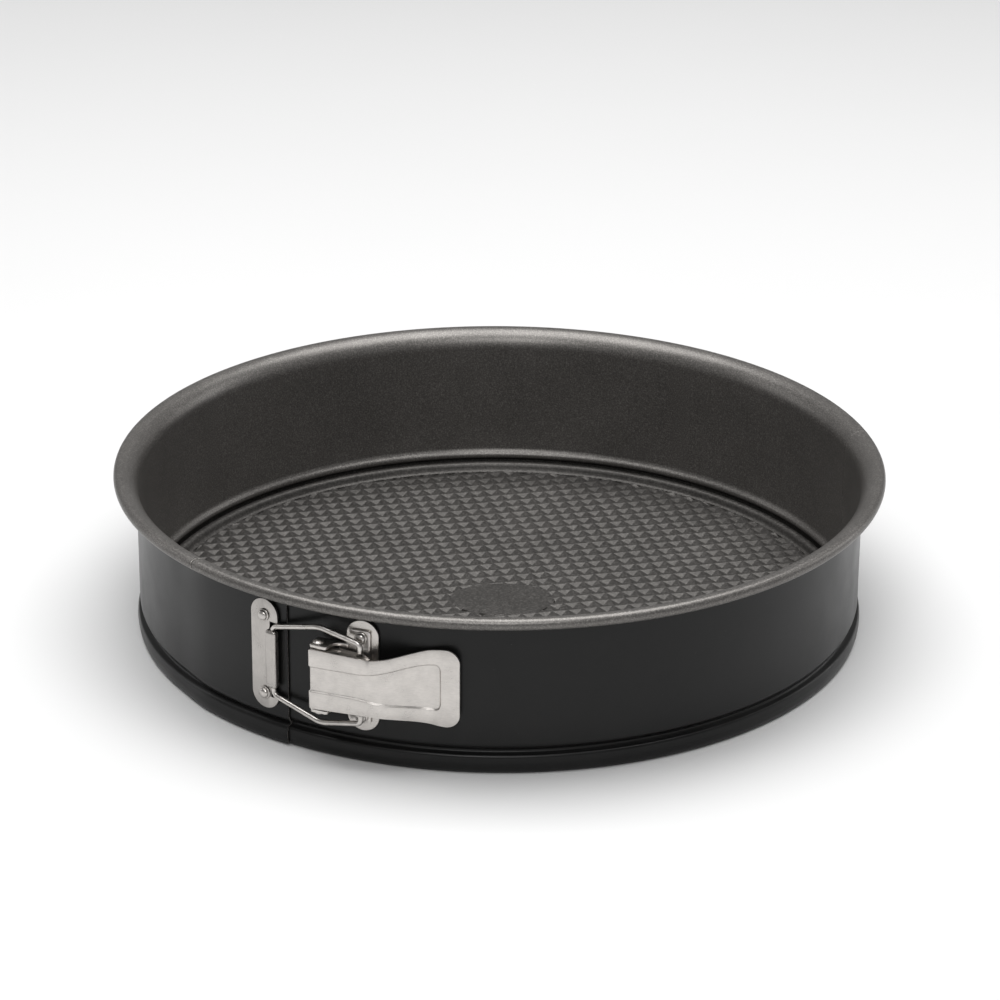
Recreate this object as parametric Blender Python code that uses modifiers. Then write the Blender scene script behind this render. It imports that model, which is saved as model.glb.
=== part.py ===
# A springform cake pan: a sprung steel band whose overlapping ends are drawn together by an
# over-centre latch, and a loose base plate held in the groove at the band's foot.
# Lengths below are millimetres. The origin is on the table under the pan's centre, +Z is up, and the
# band's seam is at -Y. "Along" is the distance round the outside of the wall from the seam, positive
# towards the lever, and "off" is how far a point stands off the wall.

import math

import bmesh
import bpy
from mathutils import Matrix, Vector

MM = 0.001
GAP = 0.3

# band
WALL_R = 140.35          # middle of the sheet
SHEET = 0.7
WALL_OUT = WALL_R + SHEET / 2
RIM_OUT_R = 149.4
RIM_TOP_Z = 64.4
CURL_R = 1.85            # middle of the sheet in the rolled rim
CURL_END = -110          # degrees, where the roll stops
FLARE_RISE = 7.5
BEAD_R = 138.75          # pressed bead over the base plate
BEAD_Z = 8.6
RING_R = 141.2           # groove that the base plate sits in
LIP_R = 137.4
HALF_START = 90.12       # degrees: where the left half leaves the right one at the back
LEFT_STEPS = 44
LAP_STEPS = 4            # this many of them, up to the seam, run outside the right end's tongue
BAND_STEP = (270 - HALF_START) / LEFT_STEPS
LAP_START = 270 - LAP_STEPS * BAND_STEP
TONGUE_END = LAP_START + 0.3 - 360
LAP_OFFSET = SHEET + GAP
LAP_TOP_R = 142.3
LAP_LOW_Z = 1.0

# base plate
PLATE_T = 0.7
PLATE_R = 138.9
PLATE_FLOOR_Z = 3.1
PLATE_RIM_Z = 6.4
PLATE_WELL_R = 134.6

# latch
LATCH_Z = 34.3
STRAP_W = 12.3
STRAP_H = 43.6
STRAP_T = 1.0
STRAP_RISE = 0.9         # the riveted straps sit this much higher than the lever
CATCH_ALONG = -9.2
BRACKET_ALONG = 31.0
RIVET_RISE = 15.6
RIVET_R = 1.5
RIVET_HEAD_R = 2.4
RIVET_HEAD_H = 1.7
RIVET_TAIL_R = 2.6
RIVET_TAIL_H = 0.5

BAR_ALONG = -5.3
BAR_OFF = 2.4
BAR_SAG = 0.9            # the loose wire hangs this much lower at the bar
WIRE_R = 1.05
BAR_HALF = 13.6
KINK_ALONG = 16.4
KINK_OFF = 5.8
KINK_HALF = 19.0
ELBOW_HALF = 15.7
FOOT_ALONG = 32.0
FOOT_OFF = 6.3
FOOT_HALF = 12.2

COVER_HALF = 11.5
COVER_T = 0.8

PIN_ALONG = 16.4
PIN_OFF = 6.0
PIN_R = 1.5
PIN_HEAD_R = 2.4

EAR_IN = 12.2
EAR_T = 1.2
SADDLE_HALF = 18.4

LEVER_T = 0.8
LEVER_LEFT = -2.7
LEVER_FOLD_END = 20.6
LEVER_RIGHT = 50.4
LEVER_FRONT = 3.9        # front face off the pin's axis, at the lever's left end
LEVER_SLOPE = 0.085
FLANGE_BACK = 2.4
PANEL_DEPTH = 0.6


def clear_scene():
    for old in list(bpy.data.objects):
        bpy.data.objects.remove(old)


def collection(name):
    made = bpy.data.collections.new(name)
    bpy.context.scene.collection.children.link(made)
    return made


def material(name, colour, roughness, metallic):
    made = bpy.data.materials.new(name)
    made.use_nodes = True
    shader = made.node_tree.nodes["Principled BSDF"]
    shader.inputs["Base Color"].default_value = (*colour, 1.0)
    shader.inputs["Roughness"].default_value = roughness
    shader.inputs["Metallic"].default_value = metallic
    return made


def coated_steel():
    return material("coated_steel", (0.018, 0.018, 0.019), 0.42, 0.3)


def coated_base():
    return material("coated_base", (0.10, 0.10, 0.10), 0.45, 0.4)


def stainless(name):
    return material(name, (0.56, 0.54, 0.52), 0.32, 1.0)


def turn_at(along):
    return along / WALL_OUT


def latch_frame(along, off):
    """Axes at a point on the wall: +X along the wall, -Y away from it."""
    turn = Matrix.Rotation(turn_at(along), 4, "Z")
    return turn @ Matrix.Translation(Vector((0, -(WALL_OUT + off), LATCH_Z)) * MM)


def strap_frame(along, off):
    return latch_frame(along, off) @ Matrix.Translation((0, 0, STRAP_RISE * MM))


def rivet_frame(along, side):
    """A rivet's own axes: +Z out of the wall along its shank."""
    middle = strap_frame(along, 0) @ Matrix.Translation((0, 0, side * RIVET_RISE * MM))
    return middle @ Matrix.Rotation(math.pi / 2, 4, "X")


def add(name, mesh, into, look=None, place=None):
    made = bpy.data.objects.new(name, mesh)
    if look:
        mesh.materials.append(look)
    if place:
        made.matrix_world = place
    into.objects.link(made)
    return made


def baked(obj):
    """The object's mesh with its modifiers applied."""
    bpy.context.view_layer.update()
    graph = bpy.context.evaluated_depsgraph_get()
    mesh = bpy.data.meshes.new_from_object(obj.evaluated_get(graph))
    obj.modifiers.clear()
    obj.data = mesh
    return obj


def smooth(obj, degrees=35):
    obj.data.shade_smooth()
    obj.data.set_sharp_from_angle(angle=math.radians(degrees))


def mesh_from(bm, name):
    mesh = bpy.data.meshes.new(name)
    bm.to_mesh(mesh)
    bm.free()
    return mesh


def profile_mesh(name, line):
    """Edges through the (radius, height) points of a turned profile."""
    bm = bmesh.new()
    verts = [bm.verts.new(Vector((r, 0, z)) * MM) for r, z in line]
    for a, b in zip(verts, verts[1:]):
        bm.edges.new((a, b))
    return mesh_from(bm, name)


def turned(name, line, start, sweep, steps, into):
    obj = add(name, profile_mesh(name, line), into)
    obj.rotation_euler.z = math.radians(start)
    screw = obj.modifiers.new("turn", "SCREW")
    screw.angle = math.radians(sweep)
    screw.steps = steps
    screw.render_steps = steps
    screw.use_merge_vertices = True
    screw.merge_threshold = 0.00005
    return obj


def apply_place(obj):
    obj.data.transform(obj.matrix_basis)
    obj.matrix_basis = Matrix.Identity(4)


def close_ends(obj):
    """Joins a turned solid's points on its axis and faces it outwards."""
    bm = bmesh.new()
    bm.from_mesh(obj.data)
    bmesh.ops.remove_doubles(bm, verts=bm.verts, dist=0.00001)
    bmesh.ops.recalc_face_normals(bm, faces=bm.faces)
    bm.to_mesh(obj.data)
    bm.free()


def thicken(obj, thickness, offset):
    shell = obj.modifiers.new("sheet", "SOLIDIFY")
    shell.thickness = thickness * MM
    shell.offset = offset
    shell.use_even_offset = True


def cut(obj, cutter, operation="DIFFERENCE"):
    boolean = obj.modifiers.new("cut", "BOOLEAN")
    boolean.operation = operation
    boolean.solver = "EXACT"
    boolean.object = cutter
    cutter.hide_render = True
    cutter.display_type = "WIRE"


def cylinder(name, radius, low, high, into, place, look=None, sides=20):
    """A round bar along the frame's Z, from low to high."""
    bm = bmesh.new()
    middle = Matrix.Translation((0, 0, (low + high) / 2 * MM))
    bmesh.ops.create_cone(
        bm, cap_ends=True, segments=sides, radius1=radius * MM, radius2=radius * MM,
        depth=(high - low) * MM, matrix=middle,
    )
    return add(name, mesh_from(bm, name), into, look, place)


def block(name, low, high, into, place):
    low, high = Vector(low), Vector(high)
    size = high - low
    bm = bmesh.new()
    spot = Matrix.Translation((low + high) / 2 * MM) @ Matrix.Diagonal((*(size * MM), 1))
    bmesh.ops.create_cube(bm, size=1, matrix=spot)
    return add(name, mesh_from(bm, name), into, None, place)


def flat_plate(name, outline, thickness, into, place):
    """A flat outline in the frame's XZ plane, filled and given a thickness away from the wall."""
    curve = bpy.data.curves.new(name, "CURVE")
    curve.dimensions = "2D"
    curve.fill_mode = "BOTH"
    curve.extrude = thickness / 2 * MM
    spline = curve.splines.new("POLY")
    spline.points.add(len(outline) - 1)
    for point, (x, z) in zip(spline.points, outline):
        point.co = (x * MM, z * MM, 0, 1)
    spline.use_cyclic_u = True
    stand = Matrix.Translation((0, -thickness / 2 * MM, 0)) @ Matrix.Rotation(math.pi / 2, 4, "X")
    return curve_to_mesh(name, curve, into, place @ stand)


def curve_to_mesh(name, curve, into, place):
    drawn = bpy.data.objects.new(name + "_curve", curve)
    drawn.matrix_world = place
    into.objects.link(drawn)
    bpy.context.view_layer.update()
    graph = bpy.context.evaluated_depsgraph_get()
    mesh = bpy.data.meshes.new_from_object(drawn.evaluated_get(graph))
    bm = bmesh.new()
    bm.from_mesh(mesh)
    bmesh.ops.remove_doubles(bm, verts=bm.verts, dist=0.00001)
    bmesh.ops.recalc_face_normals(bm, faces=bm.faces)
    bm.to_mesh(mesh)
    bm.free()
    where = drawn.matrix_world.copy()
    bpy.data.objects.remove(drawn)
    return add(name, mesh, into, None, where)


def arc_points(x, z, radius, start, end, count):
    angles = [math.radians(start + (end - start) * i / count) for i in range(count + 1)]
    return [(x + radius * math.cos(a), z + radius * math.sin(a)) for a in angles]


def stadium(width, height):
    r = width / 2
    rise = height / 2 - r
    return arc_points(0, rise, r, 0, 180, 10) + arc_points(0, -rise, r, 180, 360, 10)


def band_line():
    """The middle of the band's sheet from the end of the rolled rim down to the foot's lip."""
    curl_r = RIM_OUT_R - CURL_R - SHEET / 2
    curl_z = RIM_TOP_Z - CURL_R - SHEET / 2
    line = arc_points(curl_r, curl_z, CURL_R, CURL_END, 90, 7)
    flare_low = curl_z + CURL_R - FLARE_RISE
    for i in range(1, 5):
        a = math.radians(90 - i * 22.5)
        line.append((curl_r - (curl_r - WALL_R) * math.cos(a), flare_low + FLARE_RISE * math.sin(a)))
    line += [(WALL_R, 30.0), (WALL_R, 11.2), (WALL_R - 0.6, 10.2), (BEAD_R, BEAD_Z + 0.5)]
    line += [(BEAD_R + 0.1, BEAD_Z - 0.7), (WALL_R - 0.5, 7.3), (RING_R - 0.2, 6.7), (RING_R, 5.9)]
    line += [(RING_R, 2.2), (RING_R - 0.5, 0.9), (RING_R - 1.3, 0.35), (LIP_R, 0.35)]
    return line


def line_normals(line):
    """The direction away from the pan's inside at each point of the band's profile."""
    normals = []
    for i in range(len(line)):
        a = Vector(line[max(i - 1, 0)])
        b = Vector(line[min(i + 1, len(line) - 1)])
        run = (b - a).normalized()
        normals.append(Vector((-run.y, run.x)))
    return normals


def lap_band(obj):
    """Steps the left end of the band out over the right end, and trims its rim and lip there."""
    line = band_line()
    normals = line_normals(line)
    bm = bmesh.new()
    bm.from_mesh(obj.data)
    unused = []
    first = math.radians(LAP_START) - 0.001
    for v in bm.verts:
        angle = math.atan2(v.co.y, v.co.x) % (2 * math.pi)
        radius = math.hypot(v.co.x, v.co.y) / MM
        z = v.co.z / MM
        nearest = min(range(len(line)), key=lambda i: math.hypot(line[i][0] - radius, line[i][1] - z))
        if angle < first:
            continue
        shift = normals[nearest] * LAP_OFFSET
        radius, z = radius + shift.x, z + shift.y
        trimmed = radius > LAP_TOP_R and z > BEAD_Z * 3
        if angle > first + 0.01 and (trimmed or z < LAP_LOW_Z):
            unused.append(v)
            continue
        if trimmed or z < LAP_LOW_Z:
            continue
        v.co = Vector((radius * math.cos(angle), radius * math.sin(angle), z)) * MM
    bmesh.ops.delete(bm, geom=unused, context="VERTS")
    bm.to_mesh(obj.data)
    bm.free()


def make_band(parts, cutters):
    look = coated_steel()
    line = band_line()
    right_sweep = 90 - TONGUE_END
    right = turned("ring_band_right", line, TONGUE_END, right_sweep, round(right_sweep / BAND_STEP), parts)
    left = turned("ring_band_left", line, HALF_START, 270 - HALF_START, LEFT_STEPS, parts)
    for half in (right, left):
        baked(half)
        apply_place(half)
    lap_band(left)
    for half in (right, left):
        thicken(half, SHEET, 0)
        half.data.materials.append(look)
    drill(right, BRACKET_ALONG, cutters)
    drill(left, CATCH_ALONG, cutters)
    return right, left


def drill(obj, along, cutters):
    """The two rivet holes through a plate or wall at that place."""
    for side in (1, -1):
        cut(obj, cylinder(f"{obj.name}_hole", RIVET_R + GAP, -4, 8, cutters, rivet_frame(along, side)))


def make_base_plate(parts):
    well, rim = PLATE_WELL_R, PLATE_RIM_Z
    line = [(PLATE_R, 1.1), (PLATE_R, rim - 1.2), (PLATE_R - 0.4, rim - 0.4), (PLATE_R - 1.3, rim)]
    line += [(well + 1.7, rim), (well + 0.8, rim - 0.5), (well + 0.4, rim - 1.4)]
    line += [(well + 0.1, PLATE_FLOOR_Z + 0.4), (well - 0.6, PLATE_FLOOR_Z), (0, PLATE_FLOOR_Z)]
    plate = turned("base_plate", list(reversed(line)), 0, 360, 64, parts)
    close_ends(baked(plate))
    if plate.data.polygons[0].normal.z < 0:
        plate.data.flip_normals()
    thicken(plate, PLATE_T, -1)
    plate.data.materials.append(coated_base())
    return plate


def make_rivet(name, along, side, front, shank, tail, look, parts):
    """A snap-head rivet: its head stands on the plate's front, its shank goes in through the wall."""
    head = [(0.0, RIVET_HEAD_H), (0.9, RIVET_HEAD_H * 0.9), (1.7, RIVET_HEAD_H * 0.6)]
    head += [(RIVET_HEAD_R, 0.25), (RIVET_HEAD_R, 0.0), (RIVET_R, 0.0)]
    line = [(r, z + front) for r, z in head] + [(RIVET_R, shank)]
    if tail:
        line += [(RIVET_TAIL_R, shank), (RIVET_TAIL_R, shank - RIVET_TAIL_H), (0.0, shank - RIVET_TAIL_H)]
    else:
        line += [(0.0, shank)]
    rivet = turned(name, line, 0, 360, 20, parts)
    close_ends(baked(rivet))
    rivet.matrix_world = rivet_frame(along, side)
    rivet.data.materials.append(look)
    smooth(rivet)
    return rivet


def make_catch(parts, cutters):
    look = stainless("catch_steel")
    back = LAP_OFFSET + GAP
    plate = flat_plate("catch_plate", stadium(STRAP_W, STRAP_H), STRAP_T, parts, strap_frame(CATCH_ALONG, back))
    place = latch_frame(CATCH_ALONG, back)
    bar = BAR_ALONG - CATCH_ALONG
    inside = WIRE_R + 0.6
    slot = BAR_HALF + BAR_SAG + WIRE_R + GAP
    cut(plate, block("catch_slot", (bar - inside + 0.2, -4, -slot), (bar + 9, 3, slot), cutters, place))
    front = BAR_OFF - back + WIRE_R + 0.25
    outer = (bar - inside - COVER_T, -front - COVER_T, -COVER_HALF)
    cover = block("catch_cover", outer, (bar + inside + COVER_T, -0.05, COVER_HALF), cutters, place)
    inner = (bar - inside, -front, -COVER_HALF - 1)
    cut(cover, block("catch_channel", inner, (bar + inside, 1, COVER_HALF + 1), cutters, place))
    cut(plate, cover, "UNION")
    drill(plate, CATCH_ALONG, cutters)
    plate.data.materials.append(look)
    front = back + STRAP_T + GAP
    flush = LAP_OFFSET - SHEET / 2
    for side, end in ((1, "top"), (-1, "bottom")):
        make_rivet(f"catch_rivet_{end}", CATCH_ALONG, side, front, flush, False, look, parts)


def wire_point(along, off, rise):
    turn = turn_at(along)
    radius = WALL_OUT + off
    return Vector((radius * math.sin(turn), -radius * math.cos(turn), LATCH_Z + rise))


def rounded(points, radius, count):
    """The points of a path, with each corner replaced by a short curve."""
    path = [points[0]]
    for before, corner, after in zip(points, points[1:], points[2:]):
        a = corner + (before - corner).normalized() * radius
        b = corner + (after - corner).normalized() * radius
        for i in range(count + 1):
            t = i / count
            path.append(a * (1 - t) ** 2 + corner * 2 * t * (1 - t) + b * t ** 2)
    path.append(points[-1])
    return path


def wire_arm(side):
    return [
        wire_point(BAR_ALONG, BAR_OFF, side * BAR_HALF - BAR_SAG),
        wire_point(KINK_ALONG, KINK_OFF, side * KINK_HALF + 0.4),
        wire_point(FOOT_ALONG, FOOT_OFF, side * ELBOW_HALF),
        wire_point(FOOT_ALONG, FOOT_OFF, side * FOOT_HALF),
    ]


def make_bail(parts):
    """The wire loop: a bar in the catch plate's channel, two cranked arms, and inturned feet."""
    upper = wire_arm(1)
    lower = wire_arm(-1)
    path = rounded(list(reversed(upper)) + lower, 1.7, 3)
    origin = wire_point(BAR_ALONG, BAR_OFF, 0)
    curve = bpy.data.curves.new("wire_bail", "CURVE")
    curve.dimensions = "3D"
    curve.bevel_depth = WIRE_R * MM
    curve.bevel_resolution = 2
    curve.use_fill_caps = True
    spline = curve.splines.new("POLY")
    spline.points.add(len(path) - 1)
    for point, spot in zip(spline.points, path):
        point.co = (*((spot - origin) * MM), 1)
    bail = curve_to_mesh("wire_bail", curve, parts, Matrix.Translation(origin * MM))
    bail.data.materials.append(stainless("wire_steel"))
    smooth(bail, 60)
    return bail


def make_bracket(parts, cutters):
    look = stainless("bracket_steel")
    place = strap_frame(BRACKET_ALONG, GAP)
    plate = flat_plate("bracket_plate", stadium(STRAP_W, STRAP_H), STRAP_T, parts, place)
    drill(plate, BRACKET_ALONG, cutters)
    plate.data.materials.append(look)

    # the saddle lies on the plate, and its two ears reach left and forward to hold the pin
    back = GAP + STRAP_T + GAP
    seat = latch_frame(BRACKET_ALONG, back)
    low, high = STRAP_RISE - SADDLE_HALF, STRAP_RISE + SADDLE_HALF
    web = [(-8.6, -12.8), (-4.6, -14.0), (-4.6, low + 1), (-3.6, low), (2.4, low), (3.4, low + 1)]
    web += [(3.4, high - 1), (2.4, high), (-3.6, high), (-4.6, high - 1), (-4.6, 14.0), (-8.6, 12.8)]
    saddle = flat_plate("hinge_saddle", web, STRAP_T, parts, seat)
    drill(saddle, BRACKET_ALONG, cutters)
    for side in (1, -1):
        cut(saddle, make_ear(side, cutters), "UNION")
        pin_hole = cylinder("ear_hole", PIN_R + GAP, -20, 20, cutters, latch_frame(PIN_ALONG, PIN_OFF))
        cut(saddle, pin_hole)
    saddle.data.materials.append(look)
    front = back + STRAP_T + GAP
    for side, end in ((1, "top"), (-1, "bottom")):
        make_rivet(f"bracket_rivet_{end}", BRACKET_ALONG, side, front, -SHEET - GAP, True, look, parts)


def make_ear(side, cutters):
    """One of the two lugs that hold the pivot pin, square to the wall."""
    pin = latch_frame(PIN_ALONG, PIN_OFF)
    low, high = sorted((side * EAR_IN, side * (EAR_IN + EAR_T)))
    outline = [(-2.6, 4.0), (-2.6, -2.4), (-2.0, -3.0), (3.6, -3.0), (4.3, -2.4), (4.6, 0.6), (6.0, 2.3)]
    outline += [(10.3, 3.0), (10.3, 4.9)]
    bm = bmesh.new()
    verts = [bm.verts.new(Vector((x, y, low)) * MM) for x, y in outline]
    face = bm.faces.new(verts)
    lifted = bmesh.ops.extrude_face_region(bm, geom=[face])["geom"]
    risen = [g for g in lifted if isinstance(g, bmesh.types.BMVert)]
    bmesh.ops.translate(bm, verts=risen, vec=(0, 0, (high - low) * MM))
    bmesh.ops.recalc_face_normals(bm, faces=bm.faces)
    return add("ear", mesh_from(bm, "ear"), cutters, None, pin)


def make_pin(parts):
    """The pivot pin: a domed head on the upper ear, and a shank peened over under the lower one."""
    top = EAR_IN + EAR_T
    line = [(0.0, top + 1.2 + GAP / 2), (1.2, top + 1.05 + GAP / 2), (2.1, top + 0.6 + GAP / 2)]
    line += [(PIN_HEAD_R, top + GAP), (PIN_R, top + GAP), (PIN_R, -top - GAP), (1.9, -top - GAP)]
    line += [(1.9, -top - 1.0), (0.0, -top - 1.2)]
    pin = turned("pivot_pin", line, 0, 360, 20, parts)
    close_ends(baked(pin))
    pin.matrix_world = latch_frame(PIN_ALONG, PIN_OFF)
    pin.data.materials.append(stainless("pin_steel"))
    smooth(pin)
    return pin


def ease(t):
    t = min(max(t, 0.0), 1.0)
    return t * t * (3 - 2 * t)


def lever_face(x):
    """How far the lever's front face lies in towards the wall from the pin's axis."""
    body = -LEVER_FRONT + LEVER_SLOPE * (min(x, 22) - LEVER_LEFT)
    dip = 11.8 * ease((x - 20.5) / 21.5)
    return body + dip + 0.2 * max(x - 42, 0)


def lever_half(x):
    """Half of the lever's height at that place."""
    body = 11.8 - 0.7 * min(max((x - LEVER_LEFT) / (LEVER_FOLD_END - LEVER_LEFT), 0), 1)
    half = body + 4.1 * ease((x - 20.0) / 26.0)
    corner = 5.2
    past = x - (LEVER_RIGHT - corner)
    if past > 0:
        half -= corner - math.sqrt(max(corner ** 2 - past ** 2, 0.0))
    return half


def panel_half(x):
    """Half of the sunk panel's height."""
    return 5.0 + 4.1 * ease((x - 14.0) / 29.0)


def make_lever(parts, cutters):
    """One folded sheet: a channel with the pin and the wire's feet in its flanges, and a finger tab."""
    stations = [LEVER_LEFT, 4, 12, LEVER_FOLD_END, 22.5, 26, 30, 34, 38, 41, 43.6, 44.4]
    stations += [47, 48.8, 49.8, LEVER_RIGHT]
    across = [-1.0, -0.5, 0.5, 1.0]
    bm = bmesh.new()
    rows = []
    for x in stations:
        half, panel = lever_half(x), panel_half(x)
        sunk = PANEL_DEPTH if x < 44 else 0.0
        panel = min(panel, half - 1.2)
        heights = [-half, -panel - 0.7, -panel, panel, panel + 0.7, half]
        depths = [0, 0, sunk, sunk, 0, 0]
        row = [bm.verts.new(Vector((x, lever_face(x) + d, h)) * MM) for h, d in zip(heights, depths)]
        rows.append(row)
    for left, right in zip(rows, rows[1:]):
        for i in range(len(left) - 1):
            bm.faces.new((left[i], right[i], right[i + 1], left[i + 1]))
    folded = [i for i, x in enumerate(stations) if x <= LEVER_FOLD_END]
    for edge in (0, -1):
        backs = []
        for i in folded:
            x = stations[i]
            depth = FLANGE_BACK if i < folded[-1] else FLANGE_BACK - 3.0
            backs.append(bm.verts.new(Vector((x, depth, rows[i][edge].co.z / MM)) * MM))
        for i in range(len(folded) - 1):
            bm.faces.new((rows[folded[i]][edge], rows[folded[i + 1]][edge], backs[i + 1], backs[i]))
    bmesh.ops.recalc_face_normals(bm, faces=bm.faces)
    if sum(f.normal.y * f.calc_area() for f in bm.faces) > 0:
        bmesh.ops.reverse_faces(bm, faces=bm.faces)
    place = latch_frame(PIN_ALONG, PIN_OFF)
    lever = add("lever", mesh_from(bm, "lever"), parts, stainless("lever_steel"), place)
    thicken(lever, LEVER_T, -1)
    cut(lever, cylinder("lever_pin_hole", PIN_R + GAP, -20, 20, cutters, place))
    foot = latch_frame(FOOT_ALONG, FOOT_OFF)
    cut(lever, cylinder("lever_wire_hole", WIRE_R + GAP, -14, 14, cutters, foot, sides=16))
    return lever


def main():
    clear_scene()
    parts = collection("springform_pan")
    cutters = collection("cutters")
    make_band(parts, cutters)
    make_base_plate(parts)
    make_catch(parts, cutters)
    make_bail(parts)
    make_bracket(parts, cutters)
    make_pin(parts)
    make_lever(parts, cutters)


main()
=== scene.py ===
import math

import bpy
from mathutils import Matrix, Vector


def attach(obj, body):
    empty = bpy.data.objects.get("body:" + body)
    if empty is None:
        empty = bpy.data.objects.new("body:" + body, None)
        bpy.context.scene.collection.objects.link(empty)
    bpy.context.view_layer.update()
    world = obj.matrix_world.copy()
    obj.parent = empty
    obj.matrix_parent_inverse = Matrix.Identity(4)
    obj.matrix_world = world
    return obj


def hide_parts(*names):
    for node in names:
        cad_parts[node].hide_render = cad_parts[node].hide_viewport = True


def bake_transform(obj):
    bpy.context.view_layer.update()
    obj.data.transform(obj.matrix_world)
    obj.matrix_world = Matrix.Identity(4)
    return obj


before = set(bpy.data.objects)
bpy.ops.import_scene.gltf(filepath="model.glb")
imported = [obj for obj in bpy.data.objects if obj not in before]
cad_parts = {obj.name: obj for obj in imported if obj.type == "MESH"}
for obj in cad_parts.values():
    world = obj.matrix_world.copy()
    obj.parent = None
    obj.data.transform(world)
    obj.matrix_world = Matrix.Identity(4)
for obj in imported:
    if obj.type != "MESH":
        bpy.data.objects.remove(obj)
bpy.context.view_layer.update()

mm = 0.001
wallOut = 140.7      # outside of the wall, from the pan's axis
latchHeight = 34.3


# small helpers

def deselectAll():
    for thing in list(bpy.context.selected_objects):
        thing.select_set(False)


def makeActive(piece):
    deselectAll()
    piece.select_set(True)
    bpy.context.view_layer.objects.active = piece


def editMode(kind="VERT"):
    bpy.context.tool_settings.mesh_select_mode = (kind == "VERT", kind == "EDGE", kind == "FACE")
    bpy.ops.object.mode_set(mode="EDIT")


def objectMode():
    bpy.ops.object.mode_set(mode="OBJECT")


def pickNone(mesh):
    for group in (mesh.vertices, mesh.edges, mesh.polygons):
        group.foreach_set("select", [False] * len(group))


def pickVerts(piece, test):
    # called in object mode: the points whose place passes, and the edges and faces between them
    mesh = piece.data
    pickNone(mesh)
    chosen = [test(v.co / mm) for v in mesh.vertices]
    mesh.vertices.foreach_set("select", chosen)
    mesh.edges.foreach_set("select", [all(chosen[i] for i in e.vertices) for e in mesh.edges])
    mesh.polygons.foreach_set("select", [all(chosen[i] for i in p.vertices) for p in mesh.polygons])


def pickFaces(piece, test):
    mesh = piece.data
    pickNone(mesh)
    for face in mesh.polygons:
        if test(face.center / mm):
            face.select = True
            for i in face.vertices:
                mesh.vertices[i].select = True


def pickEdges(piece, test):
    mesh = piece.data
    pickNone(mesh)
    for edge in mesh.edges:
        a, b = (mesh.vertices[i].co / mm for i in edge.vertices)
        if test(a, b):
            edge.select = True
            for i in edge.vertices:
                mesh.vertices[i].select = True


def drawLine(name, points):
    # one vertex, extruded from point to point
    deselectAll()
    bpy.ops.mesh.primitive_plane_add(size=0.001)
    piece = bpy.context.object
    piece.name = name
    piece.data.name = name
    editMode()
    bpy.ops.mesh.merge(type="CENTER")
    bpy.ops.transform.translate(value=Vector(points[0]) * mm)
    for here, there in zip(points, points[1:]):
        step = (Vector(there) - Vector(here)) * mm
        bpy.ops.mesh.extrude_region_move(TRANSFORM_OT_translate={"value": step})
    objectMode()
    return piece


def spinLine(piece, sweep, steps, start=0.0):
    # turns the line round the Z axis, anticlockwise from above
    makeActive(piece)
    editMode()
    bpy.ops.mesh.select_all(action="SELECT")
    bpy.ops.mesh.spin(steps=steps, angle=-math.radians(sweep), center=(0, 0, 0), axis=(0, 0, 1))
    bpy.ops.mesh.select_all(action="SELECT")
    bpy.ops.mesh.remove_doubles(threshold=0.000005)
    objectMode()
    if start:
        piece.rotation_euler.z = math.radians(start)
        settle(piece)
    return piece


def settle(piece):
    makeActive(piece)
    bpy.ops.object.transform_apply(location=True, rotation=True, scale=True)


def faceOut(piece):
    makeActive(piece)
    editMode()
    bpy.ops.mesh.select_all(action="SELECT")
    bpy.ops.mesh.normals_make_consistent(inside=False)
    objectMode()


def applyModifier(piece, kind, **values):
    makeActive(piece)
    modifier = piece.modifiers.new(kind.lower(), kind)
    for key, value in values.items():
        setattr(modifier, key, value)
    bpy.ops.object.modifier_apply(modifier=modifier.name)


def roundEdges(piece, width, segments, angle):
    # only the edges sharper than the angle
    applyModifier(
        piece, "BEVEL", width=width * mm, segments=segments, limit_method="ANGLE",
        angle_limit=math.radians(angle), use_clamp_overlap=False,
    )


def boolean(piece, tool, operation="DIFFERENCE"):
    applyModifier(piece, "BOOLEAN", object=tool, operation=operation, solver="EXACT")
    bpy.data.objects.remove(tool)


def smooth(piece, angle):
    makeActive(piece)
    bpy.ops.object.shade_smooth_by_angle(angle=math.radians(angle), keep_sharp_edges=True)


def paint(piece, *materials):
    piece.data.materials.clear()
    for material in materials:
        piece.data.materials.append(material)


def onWall(piece, along, off, rise=0.0):
    # local axes: X along the wall, -Y away from it
    turn = Matrix.Rotation(along / wallOut, 4, "Z")
    piece.matrix_world = turn @ Matrix.Translation(Vector((0, -(wallOut + off), latchHeight + rise)) * mm)
    settle(piece)


def finishPiece(piece, body, replaced, material, angle):
    paint(piece, material)
    smooth(piece, angle)
    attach(piece, body)
    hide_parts(*replaced)


def ease(t):
    t = min(max(t, 0.0), 1.0)
    return t * t * (3 - 2 * t)


def roundedLine(points, radius, count):
    # each corner of the line becomes a short curve
    points = [Vector(p) for p in points]
    line = [points[0]]
    for before, corner, after in zip(points, points[1:], points[2:]):
        reach = min(radius, (before - corner).length * 0.49, (after - corner).length * 0.49)
        a = corner + (before - corner).normalized() * reach
        b = corner + (after - corner).normalized() * reach
        for i in range(count + 1):
            t = i / count
            line.append(a * (1 - t) ** 2 + corner * 2 * t * (1 - t) + b * t ** 2)
    line.append(points[-1])
    return line


# materials

def newMaterial(name, roughness, metallic):
    material = bpy.data.materials.new(name)
    material.use_nodes = True
    shader = material.node_tree.nodes["Principled BSDF"]
    shader.inputs["Roughness"].default_value = roughness
    shader.inputs["Metallic"].default_value = metallic
    return material, material.node_tree, shader


def objectPoint(tree, stretch=(1, 1, 1)):
    place = tree.nodes.new("ShaderNodeTexCoord")
    mapping = tree.nodes.new("ShaderNodeMapping")
    mapping.inputs["Scale"].default_value = stretch
    tree.links.new(place.outputs["Object"], mapping.inputs["Vector"])
    return mapping.outputs["Vector"]


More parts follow.
